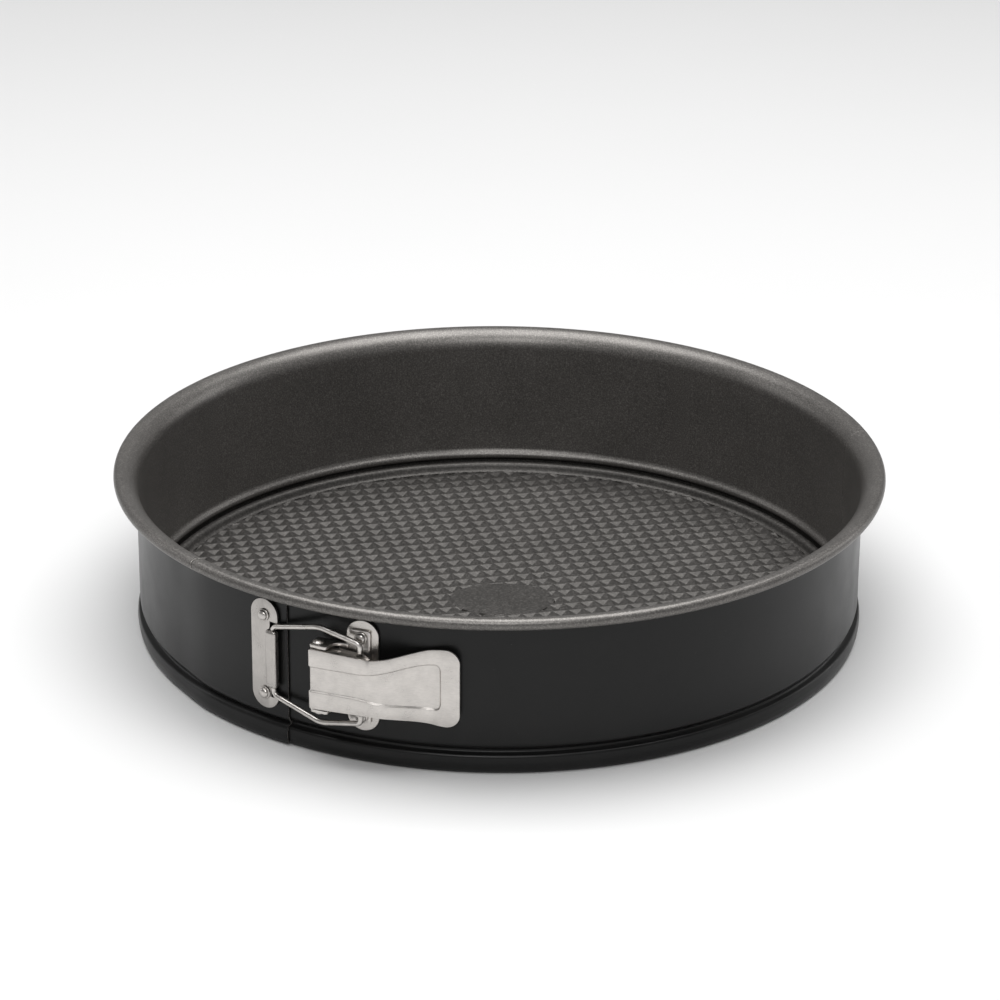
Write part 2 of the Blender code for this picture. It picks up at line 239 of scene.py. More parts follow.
def noise(tree, point, scale, detail=4.0, roughness=0.55):
    node = tree.nodes.new("ShaderNodeTexNoise")
    node.inputs["Scale"].default_value = scale
    node.inputs["Detail"].default_value = detail
    node.inputs["Roughness"].default_value = roughness
    tree.links.new(point, node.inputs["Vector"])
    return node.outputs["Fac"]


def ramp(tree, factor, *stops):
    node = tree.nodes.new("ShaderNodeValToRGB")
    line = node.color_ramp
    while len(line.elements) < len(stops):
        line.elements.new(0.5)
    for element, (position, colour) in zip(line.elements, stops):
        element.position = position
        element.color = (*colour, 1)
    tree.links.new(factor, node.inputs["Fac"])
    return node.outputs["Color"]


def grey(value, warmth=0.0):
    # warmth lifts the red and lowers the blue
    return (value * (1 + warmth), value, value * (1 - warmth))


def spread(tree, factor, low, high):
    # nearly all of a noise lies between 0.3 and 0.7
    node = tree.nodes.new("ShaderNodeMapRange")
    node.inputs["From Min"].default_value = 0.3
    node.inputs["From Max"].default_value = 0.7
    node.inputs["To Min"].default_value = low
    node.inputs["To Max"].default_value = high
    tree.links.new(factor, node.inputs["Value"])
    return node.outputs["Result"]


def mix(tree, factor, a, b, blendType="MIX"):
    node = tree.nodes.new("ShaderNodeMix")
    node.data_type = "RGBA"
    node.blend_type = blendType
    if isinstance(factor, float):
        node.inputs["Factor"].default_value = factor
    else:
        tree.links.new(factor, node.inputs["Factor"])
    for socket, value in ((node.inputs[6], a), (node.inputs[7], b)):
        if isinstance(value, tuple):
            socket.default_value = (*value, 1)
        else:
            tree.links.new(value, socket)
    return node.outputs[2]


def bump(tree, height, shader, strength, distance):
    node = tree.nodes.new("ShaderNodeBump")
    node.inputs["Strength"].default_value = strength
    node.inputs["Distance"].default_value = distance
    tree.links.new(height, node.inputs["Height"])
    tree.links.new(node.outputs["Normal"], shader.inputs["Normal"])


outsideCoat = {
    "darkest": 0.004,
    "lightest": 0.007,
    "roughness": (0.30, 0.38),
    "shine": 0.26,
    "speck": 0.06,
    "clouds": 60.0,          # sizes of the patterns: patches, dust and orange peel
    "specks": 1900.0,
    "peel": 700.0,
}


def makeOutsideCoat():
    # near-black satin enamel: faint orange peel, a few specks of dust
    material, tree, shader = newMaterial("outsideCoat", 0.4, 0.0)
    shader.inputs["Specular IOR Level"].default_value = outsideCoat["shine"]
    point = objectPoint(tree)
    cloud = noise(tree, point, outsideCoat["clouds"], 5.0)
    dark, light = grey(outsideCoat["darkest"]), grey(outsideCoat["lightest"], 0.02)
    base = ramp(tree, cloud, (0.3, dark), (0.75, light))
    specks = noise(tree, point, outsideCoat["specks"], 1.0, 0.4)
    mask = ramp(tree, specks, (0.80, grey(0.0)), (0.84, grey(1.0)))
    tree.links.new(mix(tree, mask, base, grey(outsideCoat["speck"])), shader.inputs["Base Color"])
    tree.links.new(spread(tree, cloud, *outsideCoat["roughness"]), shader.inputs["Roughness"])
    bump(tree, noise(tree, point, outsideCoat["peel"], 3.0), shader, 0.10, 0.00006)
    return material


insideCoat = {
    "tones": (0.100, 0.145, 0.245),
    "warmth": 0.055,
    "metallic": 0.72,
    "roughness": (0.34, 0.46),
    "clouds": 35.0,
    "grain": 1700.0,
}


def makeInsideCoat(name, shade=1.0, grain=1.0, dull=0.0):
    # warm grey non-stick coat with fine metal flake in it
    material, tree, shader = newMaterial(name, 0.42, insideCoat["metallic"])
    point = objectPoint(tree)
    flake = noise(tree, point, insideCoat["grain"] * grain, 2.0, 0.65)
    cloud = noise(tree, point, insideCoat["clouds"], 4.0)
    tones = [grey(tone * shade, insideCoat["warmth"]) for tone in insideCoat["tones"]]
    base = ramp(tree, flake, *zip((0.32, 0.52, 0.72), tones))
    dim = ramp(tree, cloud, (0.3, grey(0.82)), (0.7, grey(1.0)))
    tree.links.new(mix(tree, 1.0, base, dim, "MULTIPLY"), shader.inputs["Base Color"])
    shiny, matt = (value + dull for value in insideCoat["roughness"])
    tree.links.new(spread(tree, flake, shiny, matt), shader.inputs["Roughness"])
    bump(tree, flake, shader, 0.22, 0.00004)
    return material


stainless = {
    "tones": (0.46, 0.62),
    "warmth": 0.05,
    "roughness": (0.24, 0.38),
    "lines": 420.0,
    "mottle": 170.0,
}


def makeStainless(name, stretch=(1, 1, 9), shade=1.0):
    # satin stainless sheet: fine mill lines and a soft mottling
    material, tree, shader = newMaterial(name, 0.32, 1.0)
    lines = noise(tree, objectPoint(tree, stretch), stainless["lines"], 5.0, 0.7)
    mottle = noise(tree, objectPoint(tree), stainless["mottle"], 5.0, 0.65)
    blotch = mix(tree, 0.45, mottle, lines)
    dark, light = (grey(tone * shade, stainless["warmth"]) for tone in stainless["tones"])
    tree.links.new(ramp(tree, blotch, (0.32, dark), (0.62, light)), shader.inputs["Base Color"])
    tree.links.new(spread(tree, blotch, *stainless["roughness"]), shader.inputs["Roughness"])
    bump(tree, lines, shader, 0.16, 0.00004)
    return material


enamel = makeOutsideCoat()
nonStick = makeInsideCoat("insideCoat")
floorCoat = makeInsideCoat("floorCoat", 0.50, 0.7, 0.10)
# the cut edges: the inside coat at twice the brightness, a painted highlight for the light line along the
# seam's edge
cutEdgeHighlight = makeInsideCoat("cutEdgeHighlight", 2.0)
sheetSteel = makeStainless("sheetSteel")
wireSteel = makeStainless("wireSteel", (1, 1, 1))
rivetSteel = makeStainless("rivetSteel", (1, 1, 1), 0.9)
# the catch strap: the stainless at 0.78 of its brightness, painted shade for the dimmer light on it
catchSteelShaded = makeStainless("catchSteelShaded", (9, 1, 1), 0.78)
print("materials made")


# the band

band = {
    "wall": 140.35,          # middle of the 0.7 mm sheet
    "sheet": 0.7,
    "rimOut": 149.4,
    "rimTop": 64.4,
    "curl": 1.85,
    "curlEnd": -120,         # degrees, where the curl's end lies under the rim
    "curlSteps": 16,
    "flareRise": 7.5,
    "flareSteps": 10,
    "wallHeights": (46, 34, 22),
    "footBend": 0.5,
    "foot": [(140.35, 11.4), (139.8, 10.2), (138.75, 9.1), (138.8, 7.9), (139.8, 7.25), (141.0, 6.95),
             (141.25, 6.3), (141.4, 4.2), (141.2, 2.2), (140.75, 0.95), (139.9, 0.35), (137.4, 0.35)],
    "step": 0.9,             # degrees between the columns
    "split": 45.0,           # where the two drawn pieces meet at the back
    "lapStart": 253.8,       # the left end runs outside the tongue from here to the seam
    "joggle": 9.0,           # degrees that it takes to step out
    "lapOffset": 1.0,
    "lapFoot": 0.9,          # the lip below this and the rim past this radius stay in line
    "lapFlare": 142.6,
    "cutFoot": 0.95,         # all that is lower, or is high and wider, is cut off the lap
    "cutFlare": 142.4,
    "cutHigh": 40,
    "tongueEnd": 254.0,
    "softEdge": 0.12,
}


def bandLine():
    curlX = band["rimOut"] - band["curl"] - band["sheet"] / 2
    curlZ = band["rimTop"] - band["curl"] - band["sheet"] / 2
    line = []
    for i in range(band["curlSteps"] + 1):
        a = math.radians(band["curlEnd"] + (90 - band["curlEnd"]) * i / band["curlSteps"])
        line.append((curlX + band["curl"] * math.cos(a), 0, curlZ + band["curl"] * math.sin(a)))
    flareFoot = curlZ + band["curl"] - band["flareRise"]
    for i in range(1, band["flareSteps"] + 1):
        a = math.radians(90 - 90 * i / band["flareSteps"])
        across = (curlX - band["wall"]) * math.cos(a)
        line.append((curlX - across, 0, flareFoot + band["flareRise"] * math.sin(a)))
    wall = [(band["wall"], 0, z) for z in band["wallHeights"]]
    foot = [(r, 0, z) for r, z in band["foot"]]
    return line + wall[:-1] + roundedLine(wall[-1:] + foot, band["footBend"], 3)


def angleOf(co):
    # degrees round the pan, 0 to 360
    return math.degrees(math.atan2(co.y, co.x)) % 360


def bandPiece(name, start, sweep):
    piece = spinLine(drawLine(name, bandLine()), sweep, round(sweep / band["step"]), start)
    middle = band["rimTop"] / 2 * mm
    wallFace = min(piece.data.polygons, key=lambda f: abs(f.center.z - middle))
    if wallFace.normal.x * wallFace.center.x + wallFace.normal.y * wallFace.center.y < 0:
        piece.data.flip_normals()
    return piece


def stepOutLap(piece):
    # the end is set out by a sheet and a gap, a little more at each column
    steps = round(band["joggle"] / band["step"])
    done = 0.0
    flare = band["lapFlare"] + band["lapOffset"]
    for i in range(1, steps + 1):
        reach = ease(i / steps) * band["lapOffset"]
        edge = band["lapStart"] - band["joggle"] + (i - 0.5) * band["step"]

        def isPast(co):
            return angleOf(co) > edge and co.z > band["lapFoot"] and math.hypot(co.x, co.y) < flare

        pickVerts(piece, isPast)
        editMode()
        bpy.ops.transform.shrink_fatten(value=(reach - done) * mm)
        objectMode()
        done = reach


def trimLap(piece):
    # no rim, flare or lip where the tongue's own are
    def isSpare(centre):
        isRim = math.hypot(centre.x, centre.y) > band["cutFlare"] and centre.z > band["cutHigh"]
        return angleOf(centre) > band["lapStart"] and (isRim or centre.z < band["cutFoot"])

    pickFaces(piece, isSpare)
    editMode("FACE")
    bpy.ops.mesh.delete(type="FACE")
    objectMode()


def thickenBand(piece):
    # the coat on the inside runs over the rim; the enamel is on the other side; the cut edges get the coat at
    # twice the brightness, a painted highlight
    applyModifier(
        piece, "SOLIDIFY", thickness=band["sheet"] * mm, offset=0, use_even_offset=True,
        material_offset=1, material_offset_rim=2,
    )
    roundEdges(piece, band["softEdge"], 1, 60)


leftBand = bandPiece("bandLeft", band["split"], 270 - band["split"])
stepOutLap(leftBand)
trimLap(leftBand)
rightBand = bandPiece("bandRight", band["tongueEnd"], 360 + band["split"] - band["tongueEnd"])
for piece in (leftBand, rightBand):
    paint(piece, enamel, nonStick, cutEdgeHighlight)
    thickenBand(piece)
    smooth(piece, 35)
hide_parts("ring_band_left")
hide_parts("ring_band_right")
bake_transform(leftBand)
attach(rightBand, "ring_right")
print("band made", len(leftBand.data.polygons), len(rightBand.data.polygons))


# the base plate

base = {
    "floor": 3.1,
    "sheet": 0.7,
    "well": 133.6,           # where the floor ends and the step begins
    "pitch": 6.2,
    "turn": 45.6,            # degrees the rows are turned
    "ridge": 0.36,           # half of the flat between two cells
    "roll": (0.28, 0.10),    # the rounded lip of a cell, in and down
    "depth": 0.88,
    "cuts": 120,             # sides of the round edge
    "plain": (20.4, 14.8, 32.6),     # smooth oval in the middle: half axes and turn
    "plainMiddle": (-0.6, 3.4, 0),
    "plainSides": 32,
    "edge": [(133.65, 3.1), (134.3, 3.35), (134.7, 3.9), (134.95, 4.9), (135.2, 5.6), (135.65, 6.15),
             (136.3, 6.4), (137.2, 6.4), (137.9, 6.2), (138.45, 5.75), (138.8, 5.0), (138.9, 4.0),
             (138.9, 1.1)],
}


def drawFloor():
    count = 2 * math.ceil(base["well"] / base["pitch"] + 0.5)
    deselectAll()
    bpy.ops.mesh.primitive_grid_add(
        x_subdivisions=count, y_subdivisions=count, size=count * base["pitch"] * mm,
        location=(0, 0, base["floor"] * mm), rotation=(0, 0, math.radians(base["turn"])),
    )
    plate = bpy.context.object
    plate.name = "baseFloor"
    settle(plate)
    reach = base["well"] + base["pitch"] * 0.72     # half a cell's diagonal, and a little more
    pickFaces(plate, lambda centre: math.hypot(centre.x, centre.y) > reach)
    editMode("FACE")
    bpy.ops.mesh.delete(type="FACE")
    objectMode()
    return plate


def pressWaffle(plate):
    makeActive(plate)
    rollIn, rollDown = base["roll"]
    editMode("FACE")
    bpy.ops.mesh.select_all(action="SELECT")
    bpy.ops.mesh.inset(thickness=base["ridge"] * mm, use_individual=True, use_even_offset=True)
    bpy.ops.mesh.inset(thickness=rollIn * mm, depth=-rollDown * mm, use_individual=True)
    bpy.ops.mesh.poke(offset=-base["depth"] * mm)
    objectMode()


def smoothOval(plate):
    # straight cuts all round the oval, then all that lies inside them is pressed flat
    halfX, halfY, turn = base["plain"]
    turn = Matrix.Rotation(math.radians(turn), 3, "Z")
    middle = Vector(base["plainMiddle"])
    sides = []
    for i in range(base["plainSides"]):
        a = 2 * math.pi * i / base["plainSides"]
        spot = middle + turn @ Vector((halfX * math.cos(a), halfY * math.sin(a), 0))
        away = (turn @ Vector((math.cos(a) / halfX, math.sin(a) / halfY, 0))).normalized()
        sides.append((spot, away))
    for spot, away in sides:
        pickFaces(plate, lambda centre: (centre.xy - spot.xy).length < base["pitch"] * 1.5)
        editMode("FACE")
        bpy.ops.mesh.bisect(plane_co=spot * mm, plane_no=away)
        objectMode()

    def isInside(co):
        flat = Vector((co.x, co.y, 0))
        nearly = 0.003       # the cuts' own points count as inside
        return all((flat - spot).dot(away) < nearly for spot, away in sides)

    pickVerts(plate, isInside)
    editMode()
    bpy.ops.transform.resize(value=(1, 1, 0), center_override=(0, 0, base["floor"] * mm))
    objectMode()


def trimRound(plate):
    # the pressed sheet is cut to a circle, one straight cut after another
    makeActive(plate)
    editMode()
    for i in range(base["cuts"]):
        turn = 2 * math.pi * i / base["cuts"]
        away = Vector((math.cos(turn), math.sin(turn), 0))
        bpy.ops.mesh.select_all(action="SELECT")
        bpy.ops.mesh.bisect(plane_co=away * base["well"] * mm, plane_no=away, clear_outer=True)
    bpy.ops.mesh.select_all(action="SELECT")
    bpy.ops.mesh.remove_doubles(threshold=0.00001)
    objectMode()


def pickOpenEdges(piece):
    # those that only one face has
    mesh = piece.data
    used = {}
    for face in mesh.polygons:
        for key in face.edge_keys:
            used[key] = used.get(key, 0) + 1
    pickNone(mesh)
    for edge in mesh.edges:
        if used.get(edge.key, 0) < 2:
            edge.select = True
            for i in edge.vertices:
                mesh.vertices[i].select = True


def turnUpEdge(plate):
    # the rim, ring by ring from the floor's own edge
    pickOpenEdges(plate)
    editMode("EDGE")
    radius = base["well"]
    for nextRadius, nextHeight in base["edge"]:
        factor = nextRadius / radius
        height = nextHeight * mm
        bpy.ops.mesh.extrude_region_move(TRANSFORM_OT_translate={"value": (0, 0, 0)})
        bpy.ops.transform.resize(value=(factor, factor, 0), center_override=(0, 0, height))
        radius = nextRadius
    objectMode()


def makeBasePlate():
    plate = drawFloor()
    pressWaffle(plate)
    smoothOval(plate)
    trimRound(plate)
    turnUpEdge(plate)
    faceOut(plate)
    middle = min(plate.data.polygons, key=lambda f: f.center.x ** 2 + f.center.y ** 2)
    if middle.normal.z < 0:
        plate.data.flip_normals()
    applyModifier(plate, "SOLIDIFY", thickness=base["sheet"] * mm, offset=-1, use_even_offset=False)
    rim = base["well"] + 0.02
    pickEdges(plate, lambda a, b: max(math.hypot(a.x, a.y), math.hypot(b.x, b.y)) < rim)
    editMode("EDGE")
    bpy.ops.mesh.mark_sharp()
    objectMode()
    finishPiece(plate, "base", ["base_plate"], floorCoat, angle=40)
    return plate


basePlate = makeBasePlate()
print("base plate made", len(basePlate.data.polygons))


# the two riveted straps

strap = {"width": 12.3, "height": 43.6, "sheet": 1.0, "rise": 0.9, "edge": 0.22}
catch = {
    "along": -9.2,
    "off": 1.3,
    "bar": 3.9,              # middle of the cover that the bail's bar runs in
    "inside": 1.65,
    "front": 2.3,
    "cover": 0.8,
    "half": 11.5,
    "round": 1.2,
    "notch": (-15.9, 14.3),  # where the strap is cut away for the bail's arms
    "rivetHead": 2.6,        # how far off the wall its rivets' heads and inner ends are
    "rivetEnd": 0.65,
}
bracket = {"along": 31.0, "off": 0.3, "rivetHead": 2.9, "rivetEnd": -1.0}


def drawStadium(name, width, height, sheet):
    # a round disc whose halves are pulled apart, then thickened away from the wall;
    # it is turned by half a side, so that no corner lies between the halves
    deselectAll()
    bpy.ops.mesh.primitive_circle_add(
        vertices=60, radius=width / 2 * mm, fill_type="NGON", rotation=(math.pi / 2, math.radians(3), 0),
    )
    plate = bpy.context.object
    plate.name = name
    settle(plate)
    pull = (height - width) / 2 * mm
    for side in (1, -1):
        pickVerts(plate, lambda co: co.z * side > 0)
        editMode()
        bpy.ops.transform.translate(value=(0, 0, side * pull))
        objectMode()
    editMode("FACE")
    bpy.ops.mesh.select_all(action="SELECT")
    bpy.ops.mesh.extrude_region_move(TRANSFORM_OT_translate={"value": (0, -sheet * mm, 0)})
    bpy.ops.mesh.select_all(action="SELECT")
    bpy.ops.mesh.normals_make_consistent(inside=False)
    objectMode()
    return plate


def addBlock(low, high):
    low, high = Vector(low) * mm, Vector(high) * mm
    deselectAll()
    bpy.ops.mesh.primitive_cube_add(size=1, location=(low + high) / 2, scale=high - low)
    block = bpy.context.object
    settle(block)
    return block


def makeCatch():
    plate = drawStadium("catchStrap", strap["width"], strap["height"], strap["sheet"])
    plate.location.z = strap["rise"] * mm
    settle(plate)
    low, high = catch["notch"]
    left, right = catch["bar"] - catch["inside"], catch["bar"] + catch["inside"]
    front, cover, half = -catch["front"], catch["cover"], catch["half"]
    boolean(plate, addBlock((left + 0.2, -4, low), (catch["bar"] + 9, 3, high)))
    shell = addBlock((left - cover, front - cover, -half), (right + cover, -0.05, half))
    roundEdges(shell, catch["round"], 5, 60)
    boolean(shell, addBlock((left, front, -half - 1), (right, 1, half + 1)))
    roundEdges(plate, 0.15, 2, 50)
    boolean(plate, shell, "UNION")
    onWall(plate, catch["along"], catch["off"])
    finishPiece(plate, "ring_left", ["catch_plate"], catchSteelShaded, angle=35)


def makeBackingPlate():
    plate = drawStadium("bracketPlate", strap["width"], strap["height"], strap["sheet"])
    roundEdges(plate, strap["edge"], 3, 50)
    onWall(plate, bracket["along"], bracket["off"], strap["rise"])
    finishPiece(plate, "ring_right", ["bracket_plate"], sheetSteel, angle=35)


makeCatch()
makeBackingPlate()
print("straps made")


# rivets and the pivot pin

rivet = {
    "apart": 15.6,
    "shank": 1.5,
    "head": [(0.0, 1.75), (0.7, 1.71), (1.3, 1.55), (1.72, 1.27), (1.95, 0.9), (2.0, 0.5), (2.25, 0.42),
             (2.40, 0.30), (2.44, 0.12), (2.40, 0.0)],
    "tail": [(2.5, 0.0), (2.6, -0.12), (2.45, -0.42), (1.9, -0.5), (0.0, -0.5)],
}
pin = {
    "along": 16.4,
    "off": 6.0,
    "shank": 1.5,
    "top": 13.4,             # outer face of the ears, from the latch's height
    "gap": 0.3,
    "head": [(0.0, 1.35), (0.7, 1.3), (1.35, 1.12), (1.9, 0.82), (2.25, 0.5), (2.4, 0.36), (2.4, 0.3)],
    "foot": [(1.75, 0.3), (1.9, 0.5), (1.8, 0.95), (1.4, 1.15), (0.0, 1.2)],
}


def turnSolid(name, outline, steps=48):
    piece = spinLine(drawLine(name, [(r, 0, z) for r, z in outline]), 360, steps)
    faceOut(piece)
    return piece


def makeRivet(name, plate, side, tail, body, node):
    front, inner = plate["rivetHead"], plate["rivetEnd"]
    outline = [(r, z + front) for r, z in rivet["head"]]
    outline += [(rivet["shank"], front), (rivet["shank"], inner)]
    outline += [(r, inner + z) for r, z in tail]
    piece = turnSolid(name, outline)
    piece.rotation_euler.x = math.pi / 2
    settle(piece)
    onWall(piece, plate["along"], 0, strap["rise"] + side * rivet["apart"])
    finishPiece(piece, body, [node], rivetSteel, angle=45)


for side, end in ((1, "top"), (-1, "bottom")):
    cap = end.capitalize()
    makeRivet("catchRivet" + cap, catch, side, [(0.0, 0.0)], "ring_left", "catch_rivet_" + end)
    makeRivet("bracketRivet" + cap, bracket, side, rivet["tail"], "ring_right", "bracket_rivet_" + end)


def makePin():
    top, shank, gap = pin["top"], pin["shank"], pin["gap"]
    outline = [(r, top + z) for r, z in pin["head"]]
    outline += [(shank, top + gap), (shank, -top - gap)]
    outline += [(r, -top - z) for r, z in pin["foot"]]
    piece = turnSolid("pivotPin", outline)
    onWall(piece, pin["along"], pin["off"])
    finishPiece(piece, "ring_right", ["pivot_pin"], rivetSteel, angle=45)


makePin()
print("rivets and pin made")


# the wire bail

wire = {
    "radius": 1.05,
    "bend": 2.4,
    "bar": (-5.3, 2.4, 13.6, -0.9),      # along, off, half height, rise
    "kink": (16.4, 5.8, 19.0, 0.4),
    "elbow": (32.0, 6.3, 15.7, 0.0),
    "foot": (32.0, 6.3, 12.2, 0.0),
}


def wallPoint(along, off, height):
    turn = along / wallOut
    return Vector(((wallOut + off) * math.sin(turn), -(wallOut + off) * math.cos(turn), latchHeight + height))


def makeBail():
    arms = []
    for side in (1, -1):
        stops = [wire[key] for key in ("bar", "kink", "elbow", "foot")]
        arms.append([wallPoint(along, off, side * half + rise) for along, off, half, rise in stops])
    path = roundedLine(list(reversed(arms[0])) + arms[1], wire["bend"], 9)
    deselectAll()
    curve = bpy.data.curves.new("wireBail", "CURVE")
    curve.dimensions = "3D"
    curve.bevel_depth = wire["radius"] * mm
    curve.bevel_resolution = 4
    curve.use_fill_caps = True
    spline = curve.splines.new("POLY")
    spline.points.add(len(path) - 1)
    for point, spot in zip(spline.points, path):
        point.co = (*(spot * mm), 1)
    bail = bpy.data.objects.new("wireBail", curve)
    bpy.context.scene.collection.objects.link(bail)
    makeActive(bail)
    bpy.ops.object.convert(target="MESH")
    bail = bpy.context.object
    editMode()
    bpy.ops.mesh.select_all(action="SELECT")
    bpy.ops.mesh.remove_doubles(threshold=0.00001)
    bpy.ops.mesh.normals_make_consistent(inside=False)
    objectMode()
    roundEdges(bail, 0.2, 2, 70)
    finishPiece(bail, "bail", ["wire_bail"], wireSteel, angle=50)


makeBail()
print("bail made")


# the saddle with its two ears

saddle = {
    "back": 1.6,
    "sheet": 1.0,
    "web": (-8.6, -4.6, 3.4),        # left edge at the ears, left edge past them, right edge
    "half": (12.8, 14.0, 18.4),      # half heights of the same, and of the whole
    "webBend": 1.1,
    "earIn": 12.2,
    "ear": 1.2,
    "earBend": 1.3,
    "earOutline": [(-2.6, 4.0), (-2.6, -3.0), (4.4, -3.0), (4.6, 1.0), (6.6, 2.9), (10.3, 3.2), (10.3, 4.9)],
}


def drawOutline(name, points, depth, direction):
    # a flat outline, drawn point to point, filled and drawn out
    piece = drawLine(name, points)
    editMode()
    bpy.ops.mesh.select_all(action="SELECT")
    bpy.ops.mesh.edge_face_add()
    bpy.ops.mesh.select_all(action="SELECT")
    bpy.ops.mesh.extrude_region_move(TRANSFORM_OT_translate={"value": Vector(direction) * depth * mm})
    bpy.ops.mesh.select_all(action="SELECT")
    bpy.ops.mesh.normals_make_consistent(inside=False)
    objectMode()
    return piece


def makeSaddle():
    left, neck, right = saddle["web"]
    earHalf, neckHalf, half = saddle["half"]
    low, high = strap["rise"] - half, strap["rise"] + half
    web = [(left, -earHalf), (neck, -neckHalf), (neck, low), (right, low)]
    web += [(right, high), (neck, high), (neck, neckHalf), (left, earHalf)]
    web = [(x, 0, z) for x, z in web]
    web = roundedLine(web + web[:1], saddle["webBend"], 4)[:-1]
    piece = drawOutline("hingeSaddle", web, saddle["sheet"], (0, -1, 0))
    roundEdges(piece, 0.2, 2, 50)
    onWall(piece, bracket["along"], saddle["back"])
    for side in (1, -1):
        level = saddle["earIn"] if side > 0 else -saddle["earIn"] - saddle["ear"]
        points = roundedLine([(x, y, level) for x, y in saddle["earOutline"]], saddle["earBend"], 5)
        ear = drawOutline("ear", points, saddle["ear"], (0, 0, 1))
        roundEdges(ear, 0.15, 2, 50)
        onWall(ear, pin["along"], pin["off"])
        boolean(piece, ear, "UNION")
    finishPiece(piece, "ring_right", ["hinge_saddle"], sheetSteel, angle=35)


makeSaddle()
print("saddle made")


# the lever

lever = {
    "left": -2.7,
    "foldEnd": 20.6,
    "right": 50.4,
    "front": 3.9,            # front face off the pin, at the left end
    "slope": 0.085,
    "slopeEnd": 22,
    "endRoll": (1.5, 1.2, 0.55),     # the left end rolls in: start, run, amount
    "tabBend": (20.5, 21.5, 11.8),   # the tab bends in
    "tipSlope": (42, 0.2),           # start, slope
    "half": (11.8, 11.1),            # half height at the left end and at the neck
    "tabWiden": (20.0, 26.0, 4.1),   # start, run, amount
    "endNip": (1.6, 1.1, 0.8),
    "corner": 5.2,
    "flange": 2.4,
    "flangeFade": (15.5, 5.1, 2.6),
    "flangeEdge": 10.5,      # only the long edges lie farther out than this
    "panel": 5.0,
    "panelWiden": (14.0, 29.0, 4.1),
    "panelEnd": 43.5,
    "panelCorner": 2.2,
    "margin": 2.0,
    "sunk": 0.6,
    "edge": 0.45,            # width of the panel's sloping edge
    "sheet": 0.8,
    "pinHole": 1.8,
    "footHole": 1.35,
    "bodyStations": (-2.7, -2.4, -2.1, -1.8, -1.5, 2.0, 6.0, 10.0, 14.0, 16.0, 17.6, 19.2, 20.6),
    "tabStart": 21.8,
    "tabStep": 1.45,
    "tabEnd": 44.4,
}


def grow(x, key):
    # smoothly from nothing up to the amount, over the run
    start, run, amount = lever[key]
    return amount * ease((x - start) / run)


def curlIn(x, key):
    # from nothing up, ever faster, towards the left end
    start, run, amount = lever[key]
    return amount * max((-start - x) / run, 0) ** 2


def leverFace(x):
    # where the front face lies, from the pin: below zero is away from the wall
    tipStart, tipSlope = lever["tipSlope"]
    body = -lever["front"] + lever["slope"] * (min(x, lever["slopeEnd"]) - lever["left"])
    body += curlIn(x, "endRoll")
    return body + grow(x, "tabBend") + tipSlope * max(x - tipStart, 0)


def leverHalf(x):
    wide, neck = lever["half"]
    share = min(max((x - lever["left"]) / (lever["foldEnd"] - lever["left"]), 0), 1)
    half = wide + (neck - wide) * share + grow(x, "tabWiden")
    half -= curlIn(x, "endNip")
    past = x - (lever["right"] - lever["corner"])
    if past > 0:
        half -= lever["corner"] - math.sqrt(max(lever["corner"] ** 2 - past ** 2, 0.0))
    return half


def panelHalf(x):
    corner = lever["panelCorner"]
    past = min(max(x - (lever["panelEnd"] - corner), 0), corner)
    cut = corner - math.sqrt(max(corner ** 2 - past ** 2, 0))
    return lever["panel"] + grow(x, "panelWiden") - cut


def cornerStations(end, corner, turns):
    start = end - corner
    return [start + corner * math.sin(math.radians(a)) for a in turns]


def leverStations():
    # the columns of the lever, from its left end to its tip
    stations = list(lever["bodyStations"])
    x = lever["tabStart"]
    while x < lever["panelEnd"] - lever["panelCorner"]:
        stations.append(x)
        x += lever["tabStep"]
    stations += cornerStations(lever["panelEnd"], lever["panelCorner"], (0, 25, 50, 90))
    stations.append(lever["tabEnd"])
    return stations + cornerStations(lever["right"], lever["corner"], range(0, 91, 11)) + [lever["right"]]


def makeLever():
    stations = leverStations()
    x = stations[0]
    outer, inner = leverHalf(x), panelHalf(x)
    heights = [-outer, -inner, -inner / 3, inner / 3, inner, outer]
    piece = drawLine("latchLever", [(x, leverFace(x), h) for h in heights])
    editMode()
    bpy.ops.mesh.select_all(action="SELECT")
    for here, there in zip(stations, stations[1:]):
        move = Vector((there - here, leverFace(there) - leverFace(here), 0)) * mm
        bpy.ops.mesh.extrude_region_move(TRANSFORM_OT_translate={"value": move})
    objectMode()
    placeRows(piece, stations)
    if piece.data.polygons[0].normal.y > 0:
        piece.data.flip_normals()
    sinkPanel(piece)
    foldFlanges(piece)
    return piece


def placeRows(piece, stations):
    # each column of points is spread to the lever's height there
    outer, inner = leverHalf(stations[0]), panelHalf(stations[0])
    for v in piece.data.vertices:
        x, z = v.co.x / mm, v.co.z / mm
        if abs(z) > (outer + inner) / 2:
            v.co.z = math.copysign(leverHalf(x), z) * mm
        else:
            v.co.z = z / inner * min(panelHalf(x), leverHalf(x) - lever["margin"]) * mm


def sinkPanel(piece):
    end = lever["panelEnd"]
    pickFaces(piece, lambda centre: centre.x < end and abs(centre.z) < panelHalf(centre.x))
    editMode("FACE")
    bpy.ops.mesh.inset(
        thickness=lever["edge"] * mm, depth=-lever["sunk"] * mm, use_boundary=False, use_even_offset=True,
    )
    objectMode()


def foldFlanges(piece):
    # the long edges are folded back, and the folds run out towards the tab
    start, run, amount = lever["flangeFade"]
    end = lever["foldEnd"] + 0.1
    far = lever["flangeEdge"]
    for side in (1, -1):
        pickEdges(piece, lambda a, b: max(a.x, b.x) < end and min(a.z * side, b.z * side) > far)
        editMode("EDGE")
        bpy.ops.mesh.extrude_region_move(TRANSFORM_OT_translate={"value": (0, 0.001, 0)})
        objectMode()
        for v in piece.data.vertices:
            if v.select:
                fade = ease((v.co.x / mm - start) / run) ** 2
                v.co.y = (lever["flange"] - amount * fade) * mm


